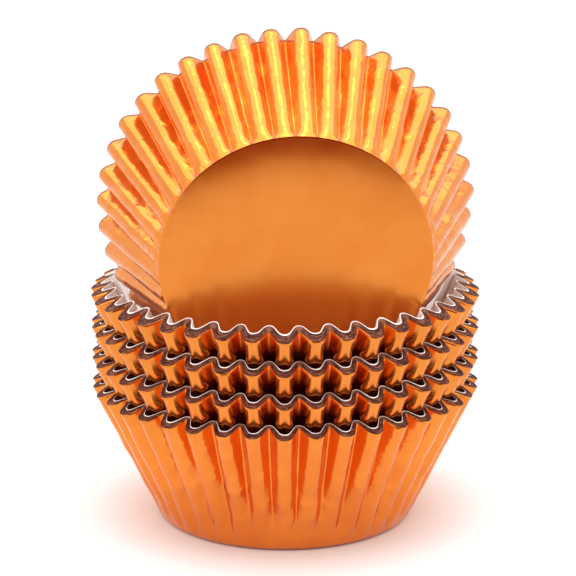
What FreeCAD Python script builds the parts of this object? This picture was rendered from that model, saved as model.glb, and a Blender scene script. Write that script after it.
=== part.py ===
import FreeCAD, Part
import math
import os

from FreeCAD import Vector

# A stack of fluted baking cups: four pressed bundles of nested liners, one inside the other,
# and a single liner lying on its side in the mouth of the top bundle.
# Millimetres, +Z up. The origin is the middle of the bottom bundle's underside.

# The liner's form, common to every bundle
flute_count = 40
base_radius = 27.4            # where the wall would meet the base without its rounded foot
rim_radius = 41.5             # to the outward folds at the rim
liner_height = 29.1           # from the underside to the outward folds at the rim
pleat_depth = 3.5             # along their lean, at the rim
inner_pleat_depth = 2.75      # the same for a bundle's inside, where its sheets are bunched
pleat_lean = 24.0             # degrees above level in which the pleats deepen
outer_crest_round = 1.9       # outside of an outward fold
outer_crease_round = 0.35     # outside of an inward fold
inner_crest_round = 1.3       # inside of an outward fold
inner_crease_round = 1.1      # inside of an inward fold

# The outside of the bottom bundle's foot, where the flutes fade out into a plain rounded edge
foot_round = 2.0
plain_foot_height = 3.0       # no flutes below this height
full_flute_height = 10.0      # full flutes above this height

# The foot of the bundles inside it, and of every bundle's inside: flutes that end at a flat disc
inner_disc_radius = 25.6
flute_foot_height = 1.8
floor_thickness = 1.9

# Thickness of each pressed bundle, bottom to top: at the rim, and lower down the wall
first_rim_thickness = 1.8
first_wall_thickness = 1.55
second_rim_thickness = 1.9
second_wall_thickness = 1.7
third_rim_thickness = 2.2
third_wall_thickness = 1.8
fourth_rim_thickness = 2.8
fourth_wall_thickness = 2.2
nest_gap = 1.25               # between crests, square to the wall: the flanks of the pleats bind first

# The single liner that lies in the top bundle
single_thickness = 0.3        # of its sheet
single_disc_growth = 0.8      # its base, pressed flat, spreads this far past base_radius
single_facet_width = 1.0      # from its base's flat round to the outward folds just above it
single_foot_height = 1.3
single_foot_depth = 1.2       # of the pleats just above the base
single_rim_draw = 0.9         # its rim, drawn in by the mouth, is this much under rim_radius
single_height_loss = 0.8      # and its height this much under liner_height
single_pleat_depth = 3.1
single_crest_round = 2.5
single_crease_round = 0.2
single_centre_x = 0.2         # centre of its rim
single_centre_y = 0.6
single_bite = 0.3             # how far its sides reach in between the mouth's inward folds
single_turn = 4.35            # degrees its axis turns to the right
single_dip = 10.6             # degrees its base dips below level
single_roll = 3.8             # degrees about its own axis
single_pinch = 0.06           # share by which the mouth pinches in its underside

# How finely a rounding is divided
arc_steps = 2
crease_steps = 1
foot_steps = 3

# Worked out from the sizes above
flute_angle = 2 * math.pi / flute_count
wall_slope = (rim_radius - base_radius) / liner_height
wall_angle = math.atan(wall_slope)
single_disc_radius = base_radius + single_disc_growth
single_foot_radius = single_disc_radius + single_facet_width
single_rim_radius = rim_radius - single_rim_draw
single_height = liner_height - single_height_loss
mouth_radius = (rim_radius - fourth_rim_thickness * math.cos(wall_angle)
                - inner_pleat_depth * math.cos(math.radians(pleat_lean)))
single_centre_rise = math.sqrt(single_rim_radius ** 2 - (mouth_radius + single_bite) ** 2)


def pleat_line(crest_radius, depth, crest_round, crease_round):
    """One pleat of a rim from the middle of a crest to the middle of the next, as points
    (across, deep): half a crest arc, flank, crease arc, flank and half a crest arc. Across is a
    share of the pleat's width. A round is limited by the room that the pleat gives it."""
    width = 2 * math.pi * (crest_radius - depth / 2) / flute_count
    half = width / 2
    rounds = crest_round + crease_round
    room = 0.95 * (half * half + depth * depth) / (2 * depth)
    if rounds > room:
        crest_round = crest_round * room / rounds
        crease_round = crease_round * room / rounds
        rounds = room
    lean = math.atan2(depth - rounds, half) + math.asin(rounds / math.hypot(half, depth - rounds))
    side = []
    for step in range(arc_steps + 1):
        turn = lean * step / arc_steps
        side.append((crest_round * math.sin(turn), crest_round * (1 - math.cos(turn))))
    for step in range(crease_steps + 1):
        turn = lean * (1 - step / crease_steps)
        side.append((half - crease_round * math.sin(turn), depth - crease_round * (1 - math.cos(turn))))
    back = [(width - across, deep) for across, deep in reversed(side[1:-1])]
    return [(across / width, deep) for across, deep in side + back]


def ring(crest_radius, crest_height, line, share=0.0, pinch=0.0):
    """The corners of the closed line round a wall. Each pleat deepens along a slope that climbs
    at pleat_lean, by its share of the rim's depth: at no share the line is a plain circle. A
    pinch draws the back of the line in towards its middle, and leaves its front as it is."""
    inward = share * math.cos(math.radians(pleat_lean))
    upward = share * math.sin(math.radians(pleat_lean))
    corners = []
    for index in range(flute_count):
        for across, deep in line:
            angle = flute_angle * (index + across)
            back = (1 - math.cos(angle)) / 2
            radius = (crest_radius - deep * inward) * (1 - pinch * back * back)
            corners.append(Vector(radius * math.sin(angle), -radius * math.cos(angle),
                                  crest_height + deep * upward))
    return corners


def flat(corners):
    """A flat face with these corners."""
    return Part.Face(Part.makePolygon(corners + corners[:1]))


def skin(lower, upper, line):
    """Flat faces between two rings that are divided alike. Four corners that lie in one plane
    make one face, and others are folded along the line from the crest's foot to the crease's top."""
    faces = []
    for index in range(len(lower)):
        after = (index + 1) % len(lower)
        a, b, c, d = lower[index], lower[after], upper[after], upper[index]
        normal = (b - a).cross(d - a)
        if abs(normal.dot(c - a)) < 0.0000001 * normal.Length:
            faces.append(flat([a, b, c, d]))
        elif line[index % len(line)][1] <= line[(index + 1) % len(line)][1]:
            faces += [flat([a, b, c]), flat([a, c, d])]
        else:
            faces += [flat([a, b, d]), flat([b, c, d])]
    return faces


def closed_solid(outer, inner, outer_line, inner_line):
    """A cup from the rings up its outside and the rings up its inside."""
    faces = [flat(outer[0]), flat(inner[0])]
    for lower, upper in zip(outer, outer[1:]):
        faces += skin(lower, upper, outer_line)
    for lower, upper in zip(inner, inner[1:]):
        faces += skin(lower, upper, inner_line)
    faces += skin(outer[-1], inner[-1], outer_line)
    shell = Part.makeShell(faces)
    shell.sewShape(0.0001)
    solid = Part.Solid(shell)
    if solid.Volume < 0:
        solid.reverse()
    return solid


def rounded_foot(line):
    """Rings up the outside of the bottom bundle's plain foot, from the flat base to the flutes."""
    turn = math.pi / 2 - wall_angle
    flat_radius = base_radius - foot_round * math.tan(turn / 2)
    rings = []
    for step in range(foot_steps + 1):
        angle = turn * step / foot_steps
        rings.append(ring(flat_radius + foot_round * math.sin(angle),
                          foot_round * (1 - math.cos(angle)), line))
    rings.append(ring(base_radius + plain_foot_height * wall_slope, plain_foot_height, line))
    full_radius = base_radius + full_flute_height * wall_slope
    rings.append(ring(full_radius, full_flute_height, line, full_radius / rim_radius))
    return rings


def fluted_foot(line):
    """Rings up the outside of a bundle that sits in another: its disc and the start of its flutes."""
    foot_radius = base_radius + flute_foot_height * wall_slope
    return [ring(inner_disc_radius, 0, line),
            ring(foot_radius, flute_foot_height, line, foot_radius / rim_radius)]


def bundle(rim_thickness, wall_thickness, foot):
    """A pressed bundle of nested liners as one solid, with its rim face square to the wall."""
    inner_rim_radius = rim_radius - rim_thickness * math.cos(wall_angle)
    inner_rim_height = liner_height + rim_thickness * math.sin(wall_angle)
    inner_foot_height = floor_thickness + flute_foot_height
    inner_foot_radius = (base_radius + inner_foot_height * wall_slope
                         - wall_thickness / math.cos(wall_angle))
    floor_radius = inner_disc_radius - wall_thickness / 2
    outer_line = pleat_line(rim_radius, pleat_depth, outer_crest_round, outer_crease_round)
    inner_line = pleat_line(inner_rim_radius, inner_pleat_depth, inner_crest_round,
                            inner_crease_round)
    outer = foot(outer_line) + [ring(rim_radius, liner_height, outer_line, 1.0)]
    inner = [
        ring(floor_radius, floor_thickness, inner_line),
        ring(inner_foot_radius, inner_foot_height, inner_line, inner_foot_radius / inner_rim_radius),
        ring(inner_rim_radius, inner_rim_height, inner_line, 1.0),
    ]
    return closed_solid(outer, inner, outer_line, inner_line)


def single_liner():
    """One liner of thin sheet, standing on its base at the origin. The flutes run right down to
    the foot, where short facets turn in to the flat disc."""
    slope = math.atan((single_rim_radius - single_foot_radius) / (single_height - single_foot_height))
    inner_rim_radius = single_rim_radius - single_thickness * math.cos(slope)
    foot_share = single_foot_depth / single_pleat_depth
    outer_line = pleat_line(single_rim_radius, single_pleat_depth, single_crest_round,
                            single_crease_round)
    inner_line = pleat_line(inner_rim_radius, single_pleat_depth,
                            single_crest_round - single_thickness,
                            single_crease_round + single_thickness)
    outer = [
        ring(single_disc_radius, 0, outer_line, 0.0, single_pinch),
        ring(single_foot_radius, single_foot_height, outer_line, foot_share, single_pinch),
        ring(single_rim_radius, single_height, outer_line, 1.0, single_pinch),
    ]
    inner = [
        ring(single_disc_radius - single_thickness / 2, single_thickness, inner_line, 0.0, single_pinch),
        ring(single_foot_radius - single_thickness / math.cos(slope),
             single_foot_height + single_thickness / 2, inner_line, foot_share, single_pinch),
        ring(inner_rim_radius, single_height + single_thickness * math.sin(slope), inner_line, 1.0,
             single_pinch),
    ]
    return closed_solid(outer, inner, outer_line, inner_line)


def laid_in_mouth(shape, rim_level):
    """Lays the single liner on its side, its rim centre over the mouth, its base forward and a
    little down."""
    placed = shape.copy()
    placed.translate(Vector(0, 0, -single_height))
    placed.rotate(Vector(0, 0, 0), Vector(0, 0, 1), single_roll)
    placed.rotate(Vector(0, 0, 0), Vector(1, 0, 0), single_dip - 90)
    placed.rotate(Vector(0, 0, 0), Vector(0, 0, 1), single_turn)
    placed.translate(Vector(single_centre_x, single_centre_y, rim_level + single_centre_rise))
    return placed


def main():
    os.makedirs("parts", exist_ok=True)
    bundles = [
        ("liner_bundle_1_bottom", first_rim_thickness, first_wall_thickness, rounded_foot),
        ("liner_bundle_2", second_rim_thickness, second_wall_thickness, fluted_foot),
        ("liner_bundle_3", third_rim_thickness, third_wall_thickness, fluted_foot),
        ("liner_bundle_4_top", fourth_rim_thickness, fourth_wall_thickness, fluted_foot),
    ]
    height = 0.0
    for name, rim_thickness, wall_thickness, foot in bundles:
        shape = bundle(rim_thickness, wall_thickness, foot)
        shape.translate(Vector(0, 0, height))
        shape.exportStep("parts/" + name + ".step")
        print(name, "base", round(height, 3), "volume", round(shape.Volume), shape.isValid())
        rim_level = height + liner_height
        height += (wall_thickness + nest_gap) / math.sin(wall_angle)
    liner = laid_in_mouth(single_liner(), rim_level)
    liner.exportStep("parts/leaning_liner.step")
    print("leaning_liner", "volume", round(liner.Volume), liner.isValid())


main()
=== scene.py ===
import math

import bpy
import numpy as np
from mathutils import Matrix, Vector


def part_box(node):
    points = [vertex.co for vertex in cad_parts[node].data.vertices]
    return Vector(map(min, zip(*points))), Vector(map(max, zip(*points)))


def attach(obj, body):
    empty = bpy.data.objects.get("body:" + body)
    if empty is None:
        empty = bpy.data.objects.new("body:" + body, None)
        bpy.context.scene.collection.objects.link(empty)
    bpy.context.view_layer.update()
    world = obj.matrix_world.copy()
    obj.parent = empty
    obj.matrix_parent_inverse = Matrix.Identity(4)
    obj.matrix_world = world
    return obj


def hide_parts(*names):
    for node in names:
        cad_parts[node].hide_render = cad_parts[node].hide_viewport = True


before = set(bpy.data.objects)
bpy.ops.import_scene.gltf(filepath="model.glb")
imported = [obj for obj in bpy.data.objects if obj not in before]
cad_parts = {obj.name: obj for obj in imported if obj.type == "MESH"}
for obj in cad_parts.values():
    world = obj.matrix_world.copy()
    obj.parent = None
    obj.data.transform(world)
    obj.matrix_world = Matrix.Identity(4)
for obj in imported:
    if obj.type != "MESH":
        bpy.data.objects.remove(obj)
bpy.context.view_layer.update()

bl_info = {
    "name": "Stack of baking cup liners",
    "version": (1, 0, 0),
    "blender": (4, 5, 0),
    "location": "View3D > Sidebar > Liners",
    "description": "Fluted foil liners pressed into nested bundles, with one liner lying in the top",
    "category": "Add Mesh",
}

MM = 0.001
BUNDLE_NODES = ["liner_bundle_1_bottom", "liner_bundle_2", "liner_bundle_3", "liner_bundle_4_top"]
LEANING_NODE = "leaning_liner"


def linear_colour(hex_text):
    """Turns an sRGB hex colour into the linear red, green, blue and alpha that shaders use."""
    parts = [int(hex_text[i:i + 2], 16) / 255 for i in (0, 2, 4)]
    return tuple(p / 12.92 if p <= 0.04045 else ((p + 0.055) / 1.055) ** 2.4 for p in parts) + (1.0,)


# The sizes and colours that a user may change

def length(name, description, millimetres):
    """A length property, stored in metres."""
    return bpy.props.FloatProperty(name=name, description=description, default=millimetres * MM,
                                   min=0.0, precision=5, subtype="DISTANCE", unit="LENGTH")


def colour(name, description, hex_text):
    """A colour property, stored as linear values."""
    return bpy.props.FloatVectorProperty(name=name, description=description, size=4, min=0.0, max=1.0,
                                         default=linear_colour(hex_text), subtype="COLOR")


class LinerSizes(bpy.types.PropertyGroup):
    """The form that every liner shares"""
    flutes: bpy.props.IntProperty(name="Flutes", description="Pleats round one liner", default=40, min=8)
    base_radius: length("Base radius", "Where the wall would meet the base", 27.4)
    rim_radius: length("Rim radius", "To the outward folds at the rim", 41.5)
    height: length("Height", "From the underside to the outward folds at the rim", 29.1)
    depth: length("Pleat depth", "Depth of the pleats at the rim", 3.5)
    inner_depth: length("Inner pleat depth", "The same inside a bundle, where its sheets bunch", 2.75)
    lean: bpy.props.FloatProperty(name="Pleat lean", description="Slope in which the pleats deepen",
                                  default=math.radians(24), subtype="ANGLE", unit="ROTATION")
    outer_crest: length("Outer crest round", "Outside of an outward fold", 1.9)
    outer_crease: length("Outer crease round", "Outside of an inward fold", 0.35)
    inner_crest: length("Inner crest round", "Inside of an outward fold", 1.2)
    inner_crease: length("Inner crease round", "Inside of an inward fold", 1.2)
    foot_round: length("Foot round", "Rounding of the bottom bundle's foot", 2.0)
    plain_foot: length("Plain foot", "Height below which the bottom bundle has no flutes", 2.0)
    disc_radius: length("Disc radius", "Flat round of a liner that sits in another", 25.6)
    foot_height: length("Foot height", "Height of the short facets that turn in to the disc", 1.8)
    floor: length("Floor", "Thickness of a pressed bundle's floor", 1.9)


class BundleSizes(bpy.types.PropertyGroup):
    """How thick each pressed bundle is, bottom to top"""
    rim_1: length("Bottom rim", "Thickness of the bottom bundle at its rim", 1.8)
    rim_2: length("Second rim", "Thickness of the second bundle at its rim", 1.9)
    rim_3: length("Third rim", "Thickness of the third bundle at its rim", 2.2)
    rim_4: length("Top rim", "Thickness of the top bundle at its rim", 2.8)
    wall_1: length("Bottom wall", "Thickness of the bottom bundle low in its wall", 1.55)
    wall_2: length("Second wall", "Thickness of the second bundle low in its wall", 1.7)
    wall_3: length("Third wall", "Thickness of the third bundle low in its wall", 1.8)
    wall_4: length("Top wall", "Thickness of the top bundle low in its wall", 2.2)
    sheet_step: length("Sheet step", "How far the edges of a bundle's sheets stand above the gaps", 0.12)
    unevenness: length("Unevenness", "How far a fold strays from its even place", 0.16)


class LeaningSizes(bpy.types.PropertyGroup):
    """The single liner that lies in the top bundle"""
    sheet: length("Sheet", "Thickness of its sheet", 0.16)
    disc_radius: length("Disc radius", "Flat round of its base", 28.2)
    foot_radius: length("Foot radius", "To the outward folds just above the base", 29.2)
    foot_height: length("Foot height", "Height of the short facets round the base", 1.3)
    foot_depth: length("Foot depth", "Depth of the pleats just above the base", 1.2)
    rim_radius: length("Rim radius", "To the outward folds at the rim", 40.6)
    height: length("Height", "From its base to its rim", 28.3)
    depth: length("Pleat depth", "Depth of the pleats at the rim", 3.3)
    crest: length("Crest round", "Outside of an outward fold", 1.95)
    crease: length("Crease round", "Outside of an inward fold", 0.18)
    dome: length("Dome", "How far its base bulges at the middle", 1.4)
    pinch: bpy.props.FloatProperty(name="Pinch", default=0.06, min=0.0, max=0.5, subtype="FACTOR",
                                   description="Share by which the mouth draws in its underside")
    centre_x: length("Centre right", "Rim centre to the right of the stack's axis", 0.2)
    centre_y: length("Centre back", "Rim centre behind the stack's axis", 0.6)
    centre_rise: length("Centre rise", "Rim centre above the top bundle's rim", 17.2)
    turn: bpy.props.FloatProperty(name="Turn", description="Turn of its axis about the upright",
                                  default=math.radians(4.35), subtype="ANGLE", unit="ROTATION")
    dip: bpy.props.FloatProperty(name="Dip", description="How far its base dips below level",
                                 default=math.radians(10.6), subtype="ANGLE", unit="ROTATION")
    roll: bpy.props.FloatProperty(name="Roll", description="Turn about its own axis",
                                  default=math.radians(3.8), subtype="ANGLE", unit="ROTATION")


class FinishColours(bpy.types.PropertyGroup):
    """The colours of foil, paper and stage"""
    foil: colour("Foil", "Copper-coloured lacquered foil", "EC8C34")
    foil_warm: colour("Foil, warm", "The same foil where its lacquer is thicker", "E5822B")
    # The sheet-edge colours are partly the sheets' own brown and partly painted light: the gap colour is
    # painted shade between the sheets, and the light colour is painted highlight on edges that stand proud
    # as well as the paler edges' own colour.
    edge: colour("Sheet edges", "Cut edges of the pressed sheets", "5A2212")
    sheet_gap_painted_shade: colour("Sheet gaps", "Between the cut edges", "220703")
    pale_edge_and_painted_highlight: colour("Light sheet edges", "Cut edges that stand proud", "9C6650")
    paper: colour("Greaseproof paper", "The white lining", "F4ECE6")
    floor: colour("Floor", "Pale studio floor", "EEE2DE")


# Numpy surfaces

def smooth_step(value, low, high):
    """Zero below low, one above high, and a smooth S between, as 3t squared less 2t cubed."""
    t = np.clip((value - low) / (high - low), 0.0, 1.0)
    return t * t * (3 - 2 * t)


def pleat_profile(crest_radius, flutes, depth, crest, crease):
    """One pleat from the middle of a crest to just short of the next, as shares across and as
    depths: half a crest arc, a straight flank, a crease arc, a flank and half a crest arc. The
    flank leans so that it touches both arcs, at the angle of the line between their centres
    plus the arc sine of the summed rounds over the distance between them."""
    width = 2 * math.pi * (crest_radius - depth / 2) / flutes
    half = width / 2
    rounds = crest + crease
    room = 0.95 * (half * half + depth * depth) / (2 * depth)
    if rounds > room:
        crest, crease, rounds = crest * room / rounds, crease * room / rounds, room
    lean = math.atan2(depth - rounds, half) + math.asin(rounds / math.hypot(half, depth - rounds))
    rise = lean * np.linspace(0, 1, 6)
    fall = lean * np.linspace(1, 0, 5)
    crest_across, crest_deep = crest * np.sin(rise), crest * (1 - np.cos(rise))
    crease_across = half - crease * np.sin(fall)
    crease_deep = depth - crease * (1 - np.cos(fall))
    part = np.array([1, 2]) / 3
    flank_across = crest_across[-1] + (crease_across[0] - crest_across[-1]) * part
    flank_deep = crest_deep[-1] + (crease_deep[0] - crest_deep[-1]) * part
    across = np.concatenate([crest_across, flank_across, crease_across])
    deep = np.concatenate([crest_deep, flank_deep, crease_deep])
    back_across, back_deep = width - across[-2:0:-1], deep[-2:0:-1]
    return np.concatenate([across, back_across]) / width, np.concatenate([deep, back_deep])


def spread_folds(crests, creases, across, share_in):
    """Carries one value per crest and one per crease to every column: each column takes the
    value of its nearer crest, blended into its crease's by its share of the depth."""
    right = np.roll(crests, -1, axis=0)
    near = np.where(across[None, :] <= 0.5, crests[:, None], right[:, None])
    return (near * (1 - share_in[None, :]) + creases[:, None] * share_in[None, :]).ravel()


def soft_noise(rows, columns, row_cells, column_cells, rng):
    """A smooth random field that closes round the liner: random values on a coarse grid, blended
    between the grid's points by the smooth S step, both ways."""
    grid = rng.uniform(-1, 1, (row_cells + 1, column_cells))
    y = np.linspace(0, row_cells - 0.001, rows)
    x = np.linspace(0, column_cells, columns, endpoint=False)
    y0, x0 = y.astype(int), x.astype(int)
    fy, fx = smooth_step(y - y0, 0, 1)[:, None], smooth_step(x - x0, 0, 1)[None, :]
    x1 = (x0 + 1) % column_cells
    low = grid[y0][:, x0] * (1 - fx) + grid[y0][:, x1] * fx
    high = grid[y0 + 1][:, x0] * (1 - fx) + grid[y0 + 1][:, x1] * fx
    return low * (1 - fy) + high * fy


class Flutes:
    """The columns round a fluted sheet: an angle and a depth for each, with small strays of each
    fold from its even place, which every sheet of a nest shares."""

    def __init__(self, crest_radius, sizes, depth, crest, crease, stray, seed):
        across, deep = pleat_profile(crest_radius, sizes.flutes, depth, crest, crease)
        rng = np.random.default_rng(seed)
        count = sizes.flutes
        inward = deep / depth
        step = 2 * math.pi / count
        angle_stray = stray / crest_radius
        shift = spread_folds(rng.uniform(-1, 1, count) * angle_stray,
                             rng.uniform(-1, 1, count) * angle_stray, across, inward)
        deepen = spread_folds(rng.uniform(-1, 1, count) * stray, rng.uniform(-1, 1, count) * stray,
                              across, inward)
        self.lift = spread_folds(rng.uniform(-1, 1, count), rng.uniform(-1, 1, count), across, inward)
        self.inward = np.tile(inward, count)
        self.angle = (step * (np.arange(count)[:, None] + across[None, :])).ravel() + shift
        self.deep = np.tile(deep, count) + deepen
        self.lean = sizes.lean
        self.columns = len(self.angle)

    def rings(self, radius, height, share, pinch=0.0):
        """Rings of the given crest radius and height: each column goes in from the crest by its
        depth times the ring's share, along a slope that climbs at the pleats' lean. A pinch
        draws the back in by that share times the squared half of one less the angle's cosine."""
        radius, height, share = (np.asarray(a, float) for a in (radius, height, share))
        share = share if share.ndim == 2 else share[:, None]
        back = (1 - np.cos(self.angle)) / 2
        inward = (radius[:, None] - self.deep * share * math.cos(self.lean)) * (1 - pinch * back ** 2)
        upward = height[:, None] + self.deep * share * math.sin(self.lean)
        return np.stack([inward * np.sin(self.angle), -inward * np.cos(self.angle), upward], axis=2)


def outward(rings):
    """The direction away from the liner's axis, level, for every point."""
    flat = rings * np.array([1.0, 1.0, 0.0])
    size = np.linalg.norm(flat, axis=2, keepdims=True)
    return flat / np.maximum(size, 1e-9)


def rim_band(outer, inner, layers, step, lift, rng):
    """The cut edges of a bundle's sheets between its outer and inner rim rings. Each sheet is a
    small ridge across the band, as half a sine, and has a height of its own that wavers along
    the rim by the given lift."""
    share = np.linspace(0, 1, 3 * layers + 1)[1:-1]
    rows = outer[None] * (1 - share[:, None, None]) + inner[None] * share[:, None, None]
    ridge = np.abs(np.sin(math.pi * layers * share)) * step
    waver = soft_noise(layers + 1, outer.shape[0], layers, 60, rng) * lift
    sheet = np.minimum((share * layers).astype(int), layers)
    rows[:, :, 2] += (ridge[:, None] - step / 2) + waver[sheet]
    return rows


def add_mesh(name, sections, materials, folds):
    """A closed surface from sections of rings. Each section is (rings, material index, sharp
    start), and the sections follow each other from the middle of the underside, up the outside,
    over the rim and down the inside to the middle of the floor. Quads join neighbouring rings
    and a fan of triangles closes each end. The UV map holds the distance round the rim and the
    distance along the surface, in metres. The attribute inward_fold holds each column's share of
    the pleats' depth: none at a crest and one at a crease."""
    rings = np.concatenate([section[0] for section in sections])
    count, columns = rings.shape[:2]
    material_rows = np.concatenate([np.full(len(s[0]), s[1]) for s in sections])
    starts = np.cumsum([0] + [len(s[0]) for s in sections])[:-1]
    sharp_rows = np.array([row for row, s in zip(starts, sections) if s[2]])
    poles = np.stack([rings[0].mean(axis=0), rings[-1].mean(axis=0)])
    vertices = np.concatenate([rings.reshape(-1, 3), poles])

    column = np.arange(columns)
    following = (column + 1) % columns
    row = np.arange(count - 1)[:, None] * columns
    quads = np.stack([row + column, row + following, row + columns + following,
                      row + columns + column], axis=2).reshape(-1, 4)
    last = (count - 1) * columns
    pole = count * columns
    base_fan = np.stack([np.full(columns, pole), following, column], axis=1)
    floor_fan = np.stack([last + column, last + following, np.full(columns, pole + 1)], axis=1)
    corners = np.concatenate([quads.ravel(), base_fan.ravel(), floor_fan.ravel()]).astype(np.int32)
    sizes = np.concatenate([np.full(len(quads), 4), np.full(2 * columns, 3)])
    offsets = np.concatenate([[0], np.cumsum(sizes)[:-1]]).astype(np.int32)

    mesh = bpy.data.meshes.new(name)
    mesh.vertices.add(len(vertices))
    mesh.vertices.foreach_set("co", vertices.astype(np.float32).ravel())
    mesh.loops.add(len(corners))
    mesh.loops.foreach_set("vertex_index", corners)
    mesh.polygons.add(len(sizes))
    mesh.polygons.foreach_set("loop_start", offsets)
    mesh.update(calc_edges=True)
    for material in materials:
        mesh.materials.append(material)
    face_material = np.concatenate([np.repeat(material_rows[1:], columns),
                                    np.full(columns, material_rows[0]),
                                    np.full(columns, material_rows[-1])])
    mesh.polygons.foreach_set("material_index", face_material.astype(np.int32))

    widest = rings[np.argmax(np.linalg.norm(rings - rings.mean(axis=1, keepdims=True), axis=2).max(axis=1))]
    around = np.concatenate([[0], np.cumsum(np.linalg.norm(np.roll(widest, -1, axis=0) - widest, axis=1))])
    steps = np.linalg.norm(np.diff(rings, axis=0), axis=2).mean(axis=1)
    along = np.concatenate([[0], np.cumsum(steps)])
    u_quad = np.stack([around[:-1], around[1:], around[1:], around[:-1]], axis=1)
    u_quad = np.broadcast_to(u_quad, (count - 1, columns, 4))
    v_quad = np.stack([along[:-1], along[:-1], along[1:], along[1:]], axis=1)
    v_quad = np.broadcast_to(v_quad[:, None, :], (count - 1, columns, 4))
    middle = (around[:-1] + around[1:]) / 2
    u_base = np.stack([middle, around[1:], around[:-1]], axis=1)
    u_floor = np.stack([around[:-1], around[1:], middle], axis=1)
    v_base = np.zeros((columns, 3))
    v_floor = np.full((columns, 3), along[-1])
    u = np.concatenate([u_quad.ravel(), u_base.ravel(), u_floor.ravel()])
    v = np.concatenate([v_quad.ravel(), v_base.ravel(), v_floor.ravel()])
    layer = mesh.uv_layers.new(name="SheetMetres")
    layer.data.foreach_set("uv", np.stack([u, v], axis=1).astype(np.float32).ravel())

    fold = mesh.attributes.new("inward_fold", "FLOAT", "POINT")
    fold.data.foreach_set("value", np.concatenate([np.tile(folds, count), [0, 0]]).astype(np.float32))

    ends = np.empty(len(mesh.edges) * 2, dtype=np.int32)
    mesh.edges.foreach_get("vertices", ends)
    edge_rows = ends.reshape(-1, 2) // columns
    sharp = (edge_rows[:, 0] == edge_rows[:, 1]) & np.isin(edge_rows[:, 0], sharp_rows)
    marks = mesh.attributes.new("sharp_edge", "BOOLEAN", "EDGE")
    marks.data.foreach_set("value", sharp)
    mesh.shade_smooth()
    piece = bpy.data.objects.new(name, mesh)
    bpy.context.scene.collection.objects.link(piece)
    return piece


def flat_rows(ring, start, end, count):
    """Rings that shrink a ring about its own middle from one share of its size to another."""
    middle = ring.mean(axis=0)
    share = np.linspace(start, end, count)
    return middle + (ring - middle)[None] * share[:, None, None]


def domed_rows(ring, start, end, count, dome):
    """The same, bulging out from the liner's mouth: level in the middle, and bending back to the
    edge over the outer part, by the dome times one less the fifth power of the share."""
    rows = flat_rows(ring, start, end, count)
    share = np.linspace(start, end, count)
    rows[:, :, 2] -= (dome * (1 - share ** 5))[:, None]
    return rows


def declare(piece, node):
    """Attaches a piece to the root body and hides the frame's node that it stands for."""
    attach(piece, "root")
    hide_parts(node)


# Materials

def add_node(tree, kind, settings=None, links=None):
    """Adds a node, sets its fields or sockets by name and links its sockets."""
    made = tree.nodes.new(kind)
    for key, value in (settings or {}).items():
        if isinstance(key, str) and hasattr(made, key):
            setattr(made, key, value)
        else:
            made.inputs[key].default_value = value
    for key, source in (links or {}).items():
        tree.links.new(source, made.inputs[key])
    return made


def new_material(name):
    """An empty node material, its tree and its output node."""
    material = bpy.data.materials.new(name)
    material.use_nodes = True
    tree = material.node_tree
    tree.nodes.clear()
    return material, tree, add_node(tree, "ShaderNodeOutputMaterial")


def two_colours(tree, factor, first, second, low=0.35, high=0.65):
    """A colour ramp from one colour to another over a noise's middle range."""
    ramp = add_node(tree, "ShaderNodeValToRGB", links={"Fac": factor})
    ramp.color_ramp.elements[0].position = low
    ramp.color_ramp.elements[0].color = first
    ramp.color_ramp.elements[1].position = high
    ramp.color_ramp.elements[1].color = second
    return ramp.outputs["Color"]


def lacquered_foil(colours, name, creases, haze):
    """Rolled aluminium foil under a copper-coloured lacquer, pressed over a fluted die: a bright
    mirror with a fine rolling grain, soft creases where the die pulled it, and a lacquer that is
    uneven in places. The creases follow the seams between random cells, and come in patches.
    Creases is how strongly they show, and haze is the least roughness."""
    patch_width = 9.0 * MM
    grain_width = 0.35 * MM
    crease_width = 4.5 * MM
    material, tree, output = new_material(name)
    place = add_node(tree, "ShaderNodeTexCoord").outputs["Object"]
    patches = add_node(tree, "ShaderNodeTexNoise", {"Scale": 1 / patch_width, "Detail": 3.0},
                       {"Vector": place}).outputs["Fac"]
    grain = add_node(tree, "ShaderNodeTexNoise", {"Scale": 1 / grain_width, "Detail": 2.0},
                     {"Vector": place}).outputs["Fac"]
    cells = add_node(tree, "ShaderNodeTexVoronoi", {"feature": "F1", "Scale": 1 / crease_width},
                     {"Vector": place}).outputs["Distance"]
    where = add_node(tree, "ShaderNodeMapRange", {"From Min": 0.42, "From Max": 0.60},
                     {"Value": patches}).outputs["Result"]
    height = add_node(tree, "ShaderNodeMath", {"operation": "MULTIPLY"}, {0: cells, 1: where})
    crease_bump = add_node(tree, "ShaderNodeBump", {"Strength": creases, "Distance": 0.5 * MM},
                           {"Height": height.outputs[0]}).outputs["Normal"]
    bump = add_node(tree, "ShaderNodeBump", {"Strength": 0.08, "Distance": 0.02 * MM},
                    {"Height": grain, "Normal": crease_bump}).outputs["Normal"]
    gloss = add_node(tree, "ShaderNodeMapRange", {"To Min": haze, "To Max": haze + 0.07},
                     {"Value": patches}).outputs["Result"]
    shade = two_colours(tree, patches, tuple(colours.foil_warm), tuple(colours.foil))
    surface = add_node(tree, "ShaderNodeBsdfPrincipled",
                       {"Metallic": 1.0, "Coat Weight": 0.3, "Coat Roughness": 0.18},
                       {"Base Color": shade, "Roughness": gloss, "Normal": bump})
    tree.links.new(surface.outputs["BSDF"], output.inputs["Surface"])
    return material


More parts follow.
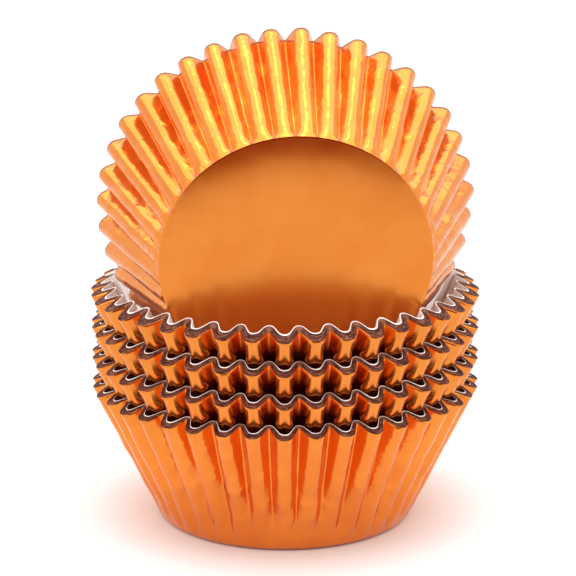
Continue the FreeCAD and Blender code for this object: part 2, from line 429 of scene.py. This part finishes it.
def sheet_edges_and_painted_shade(colours, name):
    """The die-cut edges of many foil and paper sheets pressed together, brown partly of their own
    and partly as painted shade: dark between the sheets, as painted shade, with fine lighter
    streaks that run along the rim, partly the paler edges' own colour and partly painted
    highlight where edges stand proud, bright specks of bare foil, and a lighter place at each
    inward fold, where the edges fan out. The lower bundles' linings take it too, as painted shade."""
    streak_width = 0.32 * MM
    streak_length = 3.0 * MM
    speck = 0.45 * MM
    material, tree, output = new_material(name)
    uv = add_node(tree, "ShaderNodeUVMap", {"uv_map": "SheetMetres"}).outputs["UV"]
    stretched = add_node(tree, "ShaderNodeMapping",
                         {"Scale": (1 / streak_length, 1 / streak_width, 1.0)}, {"Vector": uv})
    streaks = add_node(tree, "ShaderNodeTexNoise", {"Scale": 1.0, "Detail": 4.0, "Roughness": 0.65},
                       {"Vector": stretched.outputs["Vector"]}).outputs["Fac"]
    # Streak ramp: its dark end is painted shade in the gaps between sheets, and its light end is painted
    # highlight on the proud edges.
    ramp = add_node(tree, "ShaderNodeValToRGB", links={"Fac": streaks})
    ramp.color_ramp.elements[0].position = 0.40
    ramp.color_ramp.elements[0].color = tuple(colours.sheet_gap_painted_shade)
    ramp.color_ramp.elements[1].position = 0.66
    ramp.color_ramp.elements[1].color = tuple(colours.pale_edge_and_painted_highlight)
    ramp.color_ramp.elements.new(0.52).color = tuple(colours.edge)
    place = add_node(tree, "ShaderNodeTexCoord").outputs["Object"]
    specks = add_node(tree, "ShaderNodeTexNoise", {"Scale": 1 / speck, "Detail": 1.0},
                      {"Vector": place}).outputs["Fac"]
    bright = add_node(tree, "ShaderNodeMapRange", {"From Min": 0.63, "From Max": 0.72},
                      {"Value": specks}).outputs["Result"]
    fold = add_node(tree, "ShaderNodeAttribute", {"attribute_name": "inward_fold"}).outputs["Fac"]
    fanned = add_node(tree, "ShaderNodeMapRange", {"From Min": 0.93, "From Max": 1.02, "To Max": 0.7},
                      {"Value": fold}).outputs["Result"]
    lighter = add_node(tree, "ShaderNodeMath", {"operation": "MAXIMUM"}, {0: bright, 1: fanned})
    shade = add_node(tree, "ShaderNodeMix", {"data_type": "RGBA"}, {0: lighter.outputs[0]})
    tree.links.new(ramp.outputs["Color"], shade.inputs[6])
    shade.inputs[7].default_value = tuple(colours.pale_edge_and_painted_highlight)
    bump = add_node(tree, "ShaderNodeBump", {"Strength": 0.5, "Distance": 0.06 * MM},
                    {"Height": streaks}).outputs["Normal"]
    surface = add_node(tree, "ShaderNodeBsdfPrincipled", {"Roughness": 0.55, "Specular IOR Level": 0.2},
                       {"Base Color": shade.outputs[2], "Normal": bump})
    tree.links.new(surface.outputs["BSDF"], output.inputs["Surface"])
    return material


def greaseproof_paper(colours, name):
    """White greaseproof paper, calendered: smooth, slightly waxy, with a faint fibre mottle."""
    fibre = 0.4 * MM
    material, tree, output = new_material(name)
    place = add_node(tree, "ShaderNodeTexCoord").outputs["Object"]
    mottle = add_node(tree, "ShaderNodeTexNoise", {"Scale": 1 / fibre, "Detail": 3.0},
                      {"Vector": place}).outputs["Fac"]
    white = tuple(colours.paper)
    shade = two_colours(tree, mottle, tuple(c * 0.93 for c in white[:3]) + (1.0,), white)
    bump = add_node(tree, "ShaderNodeBump", {"Strength": 0.15, "Distance": 0.03 * MM},
                    {"Height": mottle}).outputs["Normal"]
    surface = add_node(tree, "ShaderNodeBsdfPrincipled", {"Roughness": 0.5},
                       {"Base Color": shade, "Normal": bump})
    tree.links.new(surface.outputs["BSDF"], output.inputs["Surface"])
    return material


# The sheet-edge finish also paints shade on the lower bundles' paper linings.
FINISHES = ["copper_lacquered_foil_pressed", "die_cut_foil_sheet_edges_and_painted_shade",
            "white_greaseproof_paper_calendered", "copper_lacquered_foil_creased",
            "copper_lacquered_foil_flat"]
FOIL, EDGES_AND_PAINTED_SHADE, PAPER, CREASED, FLAT = range(5)


def liner_materials():
    """The five finishes, made once and shared."""
    if FINISHES[FOIL] not in bpy.data.materials:
        colours = bpy.context.scene.liner_finish
        lacquered_foil(colours, FINISHES[FOIL], 0.06, 0.17)
        lacquered_foil(colours, FINISHES[CREASED], 0.70, 0.17)
        lacquered_foil(colours, FINISHES[FLAT], 0.04, 0.26)
        sheet_edges_and_painted_shade(colours, FINISHES[EDGES_AND_PAINTED_SHADE])
        greaseproof_paper(colours, FINISHES[PAPER])
    return [bpy.data.materials[name] for name in FINISHES]


# Pieces

def bundle_piece(node, number, rim_thickness, wall_thickness):
    """One pressed bundle: up the outside, across the cut edges of its sheets and down the
    inside. The crest line of a wall is straight, and its pleats deepen in step with its
    distance from the axis, so a bundle nests in the one below in any place along it. The bottom
    bundle shows its foot, where the pleats begin at uneven heights and deepen by a power of the
    climb, and its lower wall has soft dents. The top bundle's inside shows its white paper
    lining; the insides of the lower bundles, paper too, take the dark sheet-edge finish as
    painted shade for the deep gaps between the bundles."""
    liner = bpy.context.scene.liner_sizes
    bundle = bpy.context.scene.bundle_sizes
    bottom, top = number == 1, number == 4
    foot_stray, deepening = 0.9 * MM, 0.62
    dent_rows, dent_size = (9, 0.20 * MM) if bottom else (5, 0.02 * MM)
    dents_round = 150
    rim_stray, sheet_waver = 0.10 * MM, 0.05 * MM
    rng = np.random.default_rng(40 + number)
    slope = (liner.rim_radius - liner.base_radius) / liner.height
    angle = math.atan(slope)
    inner_rim = liner.rim_radius - rim_thickness * math.cos(angle)
    outside = Flutes(liner.rim_radius, liner, liner.depth, liner.outer_crest, liner.outer_crease,
                     bundle.unevenness, 7)
    inside = Flutes(inner_rim, liner, liner.inner_depth, liner.inner_crest, liner.inner_crease,
                    bundle.unevenness, 7)
    if bottom:
        bend = (math.pi / 2 - angle) * np.linspace(0, 1, 7)
        flat_radius = liner.base_radius - liner.foot_round * math.tan(bend[-1] / 2)
        foot = outside.rings(flat_radius + liner.foot_round * np.sin(bend),
                             liner.foot_round * (1 - np.cos(bend)), np.zeros(7))
        height = np.linspace(liner.foot_round, liner.height, 34)[1:]
        radius = liner.base_radius + height * slope
        begin = liner.plain_foot + outside.lift * foot_stray
        climb = np.clip((height[:, None] - begin[None, :]) / (liner.height - begin[None, :]), 0, 1)
        wall = outside.rings(radius, height, climb ** deepening * (radius / liner.rim_radius)[:, None])
    else:
        foot = outside.rings([liner.disc_radius], [0.0], [0.0])
        height = np.concatenate([np.linspace(liner.foot_height, liner.height * 0.55, 5),
                                 np.linspace(liner.height * 0.55, liner.height, 20)[1:]])
        radius = liner.base_radius + height * slope
        wall = outside.rings(radius, height, radius / liner.rim_radius)
    dents = soft_noise(len(wall), outside.columns, dent_rows, dents_round, rng)[:, :, None]
    dents *= np.linspace(1.0, 0.0, len(wall))[:, None, None] ** 0.5
    wall[1:-1] += (outward(wall) * dents * dent_size)[1:-1]
    wall[-1, :, 2] += outside.lift * rim_stray

    inner_foot = liner.floor + liner.foot_height
    inner_foot_radius = liner.base_radius + inner_foot * slope - wall_thickness / math.cos(angle)
    inner_top = liner.height + rim_thickness * math.sin(angle)
    share = np.linspace(1, 0, 14 if top else 5)
    inner_radius = inner_foot_radius + (inner_rim - inner_foot_radius) * share
    lining = inside.rings(inner_radius, inner_foot + (inner_top - inner_foot) * share,
                          inner_radius / inner_rim)
    floor_ring = inside.rings([liner.disc_radius - wall_thickness / 2], [liner.floor], [0.0])

    layers = 9 if top else 7
    band = rim_band(wall[-1], lining[0], layers, bundle.sheet_step, sheet_waver, rng)
    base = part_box(node)[0][2]
    skin = CREASED if bottom else FOIL
    # The lower bundles' paper linings take the dark sheet-edge finish: painted shade for the deep, dim gaps
    # between the bundles.
    paper_and_painted_shade_lining, lip = (PAPER, -3) if top else (EDGES_AND_PAINTED_SHADE, -2)
    sections = [
        (flat_rows(foot[0], 0.1, 0.96, 4), FOIL, False),
        (foot, skin, False),
        (wall, skin, False),
        (band[:lip], EDGES_AND_PAINTED_SHADE, True),
        (band[lip:], PAPER, False),
        (lining, paper_and_painted_shade_lining, True),
        (floor_ring, paper_and_painted_shade_lining, True),
        (flat_rows(floor_ring[0], 0.9, 0.1, 3), paper_and_painted_shade_lining, False),
    ]
    lift = np.array([0.0, 0.0, base])
    sections = [(rings + lift, material, sharp) for rings, material, sharp in sections]
    piece = add_mesh(node + "_sheets", sections, liner_materials(), outside.inward)
    declare(piece, node)


class LINERS_OT_add_bundles(bpy.types.Operator):
    """Adds the four pressed bundles of nested liners"""
    bl_idname = "liners.add_bundles"
    bl_label = "Add pressed bundles"

    def execute(self, context):
        sizes = context.scene.bundle_sizes
        rims = [sizes.rim_1, sizes.rim_2, sizes.rim_3, sizes.rim_4]
        walls = [sizes.wall_1, sizes.wall_2, sizes.wall_3, sizes.wall_4]
        for index, node in enumerate(BUNDLE_NODES):
            bundle_piece(node, index + 1, rims[index], walls[index])
        return {"FINISHED"}


def turned(axis, angle):
    """The matrix that turns a point about the X or Z axis by the right-hand rule."""
    c, s = math.cos(angle), math.sin(angle)
    if axis == "X":
        return np.array([[1, 0, 0], [0, c, -s], [0, s, c]])
    return np.array([[c, -s, 0], [s, c, 0], [0, 0, 1]])


def lay_down(rings, sizes, rim_level):
    """Lays rings that stand on the base at the origin on their side in the mouth: down by the
    liner's height, rolled, tipped forward, turned, and moved to the rim's centre."""
    matrix = (turned("Z", sizes.turn) @ turned("X", sizes.dip - math.pi / 2)
              @ turned("Z", sizes.roll))
    centre = np.array([sizes.centre_x, sizes.centre_y, rim_level + sizes.centre_rise])
    return (rings - np.array([0, 0, sizes.height])) @ matrix.T + centre


def leaning_piece():
    """The single liner, made standing on its base and then laid down. Its pleats are shallow just
    above the base and deepen by a power of the height, and its wall is a little crumpled."""
    liner = bpy.context.scene.liner_sizes
    sizes = bpy.context.scene.leaning_sizes
    rng = np.random.default_rng(11)
    stray, crumple_size = 0.16 * MM, 0.10 * MM
    crumple_rows, crumples_round = 7, 160
    deepening = 0.8
    slope = math.atan((sizes.rim_radius - sizes.foot_radius) / (sizes.height - sizes.foot_height))
    inner_rim = sizes.rim_radius - sizes.sheet * math.cos(slope)
    outside = Flutes(sizes.rim_radius, liner, sizes.depth, sizes.crest, sizes.crease, stray, 21)
    inside = Flutes(inner_rim, liner, sizes.depth, sizes.crest - sizes.sheet,
                    sizes.crease + sizes.sheet, stray, 21)
    foot_share = sizes.foot_depth / sizes.depth

    share = np.linspace(0, 1, 34)
    wall = outside.rings(sizes.foot_radius + (sizes.rim_radius - sizes.foot_radius) * share,
                         sizes.foot_height + (sizes.height - sizes.foot_height) * share,
                         foot_share + (1 - foot_share) * share ** deepening, sizes.pinch)
    crumple = soft_noise(len(wall), outside.columns, crumple_rows, crumples_round, rng) * crumple_size
    crumple *= np.sin(np.linspace(0, math.pi, len(wall)))[:, None] ** 0.5
    push = outward(wall) * crumple[:, :, None]
    wall += push
    back = share[::-1]
    inner_foot_radius = sizes.foot_radius - sizes.sheet / math.cos(slope)
    inner_foot_height = sizes.foot_height + sizes.sheet / 2
    inner_top = sizes.height + sizes.sheet * math.sin(slope)
    lining = inside.rings(inner_foot_radius + (inner_rim - inner_foot_radius) * back,
                          inner_foot_height + (inner_top - inner_foot_height) * back,
                          foot_share + (1 - foot_share) * back ** deepening, sizes.pinch)
    lining += push[::-1]
    disc = outside.rings([sizes.disc_radius], [0.0], [0.0], sizes.pinch)
    floor_ring = inside.rings([sizes.disc_radius - sizes.sheet / 2], [sizes.sheet], [0.0], sizes.pinch)
    facet = disc[0][None] + (wall[0] - disc[0])[None] * np.array([0.33, 0.67])[:, None, None]
    sections = [
        (domed_rows(disc[0], 0.05, 0.99, 20, sizes.dome), FLAT, False),
        (disc, FOIL, True),
        (facet, FOIL, False),
        (wall, CREASED, False),
        (lining, PAPER, True),
        (floor_ring, PAPER, True),
        (domed_rows(floor_ring[0], 0.99, 0.05, 8, sizes.dome), PAPER, False),
    ]
    rim_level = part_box(BUNDLE_NODES[-1])[0][2] + liner.height
    sections = [(lay_down(rings, sizes, rim_level), material, sharp)
                for rings, material, sharp in sections]
    piece = add_mesh(LEANING_NODE + "_sheet", sections, liner_materials(), outside.inward)
    declare(piece, LEANING_NODE)


class LINERS_OT_add_leaning_liner(bpy.types.Operator):
    """Adds the single liner that lies on its side in the top bundle"""
    bl_idname = "liners.add_leaning_liner"
    bl_label = "Add leaning liner"

    def execute(self, context):
        leaning_piece()
        return {"FINISHED"}


# Stage

def studio_floor(colours):
    """A pale matt floor that takes the object's shadow near the object and is plain white to the
    eye and to mirrors further off, with a smooth step between two distances from the middle."""
    near, far = 28 * MM, 74 * MM
    material, tree, output = new_material("pale_studio_floor_matt")
    place = add_node(tree, "ShaderNodeTexCoord").outputs["Object"]
    distance = add_node(tree, "ShaderNodeVectorMath", {"operation": "LENGTH"},
                        {0: place}).outputs["Value"]
    away = add_node(tree, "ShaderNodeMapRange",
                    {"interpolation_type": "SMOOTHSTEP", "From Min": near, "From Max": far},
                    {"Value": distance}).outputs["Result"]
    path = add_node(tree, "ShaderNodeLightPath")
    seen = add_node(tree, "ShaderNodeMath", {"operation": "MAXIMUM"},
                    {0: path.outputs["Is Camera Ray"], 1: path.outputs["Is Glossy Ray"]})
    seen = add_node(tree, "ShaderNodeMath", {"operation": "MAXIMUM"},
                    {0: seen.outputs[0], 1: path.outputs["Is Transmission Ray"]})
    amount = add_node(tree, "ShaderNodeMath", {"operation": "MULTIPLY"},
                      {0: away, 1: seen.outputs[0]})
    matt = add_node(tree, "ShaderNodeBsdfDiffuse", {"Color": tuple(colours.floor)})
    white = add_node(tree, "ShaderNodeEmission", {"Color": (1, 1, 1, 1), "Strength": 1.15})
    mixed = add_node(tree, "ShaderNodeMixShader", links={"Fac": amount.outputs[0]})
    tree.links.new(matt.outputs[0], mixed.inputs[1])
    tree.links.new(white.outputs[0], mixed.inputs[2])
    tree.links.new(mixed.outputs[0], output.inputs["Surface"])
    return material


def add_floor(colours):
    """A flat square floor just under the object."""
    half = 3.0
    level = -0.02 * MM
    mesh = bpy.data.meshes.new("studio_floor")
    mesh.from_pydata([(-half, -half, level), (half, -half, level), (half, half, level),
                      (-half, half, level)], [], [(0, 1, 2, 3)])
    mesh.materials.append(studio_floor(colours))
    floor = bpy.data.objects.new("studio_floor", mesh)
    bpy.context.scene.collection.objects.link(floor)


def add_flag():
    """A dark card, bent up at its far end, that lies in front of the stack and shows only in the
    foil's reflections."""
    near, far, half, top = -0.260, -0.62, 0.40, 0.22
    mesh = bpy.data.meshes.new("dark_flag")
    mesh.from_pydata([(-half, far, top), (half, far, top), (-half, far, MM), (half, far, MM),
                      (-half, near, MM), (half, near, MM)], [], [(0, 2, 3, 1), (2, 4, 5, 3)])
    material, tree, output = new_material("brown_flag_card")
    card = add_node(tree, "ShaderNodeBsdfDiffuse", {"Color": linear_colour("6E1C0A")})
    tree.links.new(card.outputs[0], output.inputs["Surface"])
    mesh.materials.append(material)
    flag = bpy.data.objects.new("dark_flag", mesh)
    bpy.context.scene.collection.objects.link(flag)
    flag.visible_camera = False
    flag.visible_diffuse = False
    flag.visible_shadow = False


def add_lamp(name, place, aim, width, height, radiance):
    """A soft box: an area lamp at a place, aimed at a point. Its power is its brightness to the
    eye times pi times its area."""
    data = bpy.data.lights.new(name, "AREA")
    data.shape = "RECTANGLE"
    data.size = width
    data.size_y = height
    data.energy = radiance * math.pi * width * height
    lamp = bpy.data.objects.new(name, data)
    bpy.context.scene.collection.objects.link(lamp)
    lamp.location = place
    direction = np.array(aim, float) - np.array(place, float)
    flat = math.hypot(direction[0], direction[1])
    lamp.rotation_euler = (math.atan2(flat, -direction[2]), 0.0,
                           math.atan2(-direction[0], direction[1]) if flat > 1e-9 else 0.0)


def add_world():
    """An even white surround, which gives the foil its plain bright reflections."""
    world = bpy.data.worlds.new("white_surround")
    world.use_nodes = True
    tree = world.node_tree
    tree.nodes.clear()
    path = add_node(tree, "ShaderNodeLightPath")
    soft = add_node(tree, "ShaderNodeBackground", {"Color": (1, 1, 1, 1), "Strength": 1.12})
    plain = add_node(tree, "ShaderNodeBackground", {"Color": (1, 1, 1, 1), "Strength": 1.0})
    mixed = add_node(tree, "ShaderNodeMixShader", links={"Fac": path.outputs["Is Camera Ray"]})
    tree.links.new(soft.outputs[0], mixed.inputs[1])
    tree.links.new(plain.outputs[0], mixed.inputs[2])
    output = add_node(tree, "ShaderNodeOutputWorld")
    tree.links.new(mixed.outputs[0], output.inputs["Surface"])
    bpy.context.scene.world = world


def add_camera():
    """A long lens a little above the stack, as the photograph was taken."""
    data = bpy.data.cameras.new("front_camera")
    data.sensor_width = 36.0
    data.lens = 148.25
    downward = 15.34
    camera = bpy.data.objects.new("front_camera", data)
    bpy.context.scene.collection.objects.link(camera)
    camera.location = (0.70 * MM, -489.0 * MM, 183.4 * MM)
    camera.rotation_euler = (math.radians(90 - downward), 0.0, 0.0)
    bpy.context.scene.camera = camera


class LINERS_OT_add_stage(bpy.types.Operator):
    """Adds the floor, the soft lamps, the flag, the white surround and the camera"""
    bl_idname = "liners.add_stage"
    bl_label = "Add stage"

    def execute(self, context):
        context.scene.view_settings.view_transform = "Standard"
        add_floor(context.scene.liner_finish)
        add_flag()
        add_world()
        add_lamp("top_soft_box", (0.0, 0.02, 0.60), (0, 0, 0.05), 1.10, 0.90, 1.32)
        add_lamp("top_strip_box", (0.0, -0.02, 0.58), (0, 0, 0.05), 0.20, 0.30, 2.2)
        add_lamp("left_soft_box", (-0.55, -0.30, 0.35), (0, 0, 0.05), 0.30, 0.30, 1.6)
        add_lamp("right_soft_box", (0.60, -0.20, 0.30), (0, 0, 0.05), 0.25, 0.25, 1.2)
        add_camera()
        return {"FINISHED"}


class LINERS_PT_panel(bpy.types.Panel):
    """Lists the pieces of the stack and their sizes"""
    bl_idname = "LINERS_PT_panel"
    bl_label = "Baking cup liners"
    bl_space_type = "VIEW_3D"
    bl_region_type = "UI"
    bl_category = "Liners"

    def draw(self, context):
        for operator in (LINERS_OT_add_bundles, LINERS_OT_add_leaning_liner, LINERS_OT_add_stage):
            self.layout.operator(operator.bl_idname)
        for name in ("liner_sizes", "bundle_sizes", "leaning_sizes", "liner_finish"):
            group = getattr(context.scene, name)
            box = self.layout.box()
            for key in group.__annotations__:
                box.prop(group, key)


GROUPS = {"liner_sizes": LinerSizes, "bundle_sizes": BundleSizes, "leaning_sizes": LeaningSizes,
          "liner_finish": FinishColours}
OPERATORS = [LINERS_OT_add_bundles, LINERS_OT_add_leaning_liner, LINERS_OT_add_stage]


def register():
    """Adds the classes and the scene's property groups to Blender."""
    for group in GROUPS.values():
        bpy.utils.register_class(group)
    for name, group in GROUPS.items():
        setattr(bpy.types.Scene, name, bpy.props.PointerProperty(type=group))
    for operator in OPERATORS:
        bpy.utils.register_class(operator)
    bpy.utils.register_class(LINERS_PT_panel)


def unregister():
    """Removes what register adds."""
    bpy.utils.unregister_class(LINERS_PT_panel)
    for operator in reversed(OPERATORS):
        bpy.utils.unregister_class(operator)
    for name in GROUPS:
        delattr(bpy.types.Scene, name)
    for group in reversed(list(GROUPS.values())):
        bpy.utils.unregister_class(group)


def main():
    """Registers the add-on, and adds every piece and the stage."""
    register()
    bpy.ops.liners.add_stage()
    bpy.ops.liners.add_bundles()
    bpy.ops.liners.add_leaning_liner()


if __name__ == "__main__":
    main()
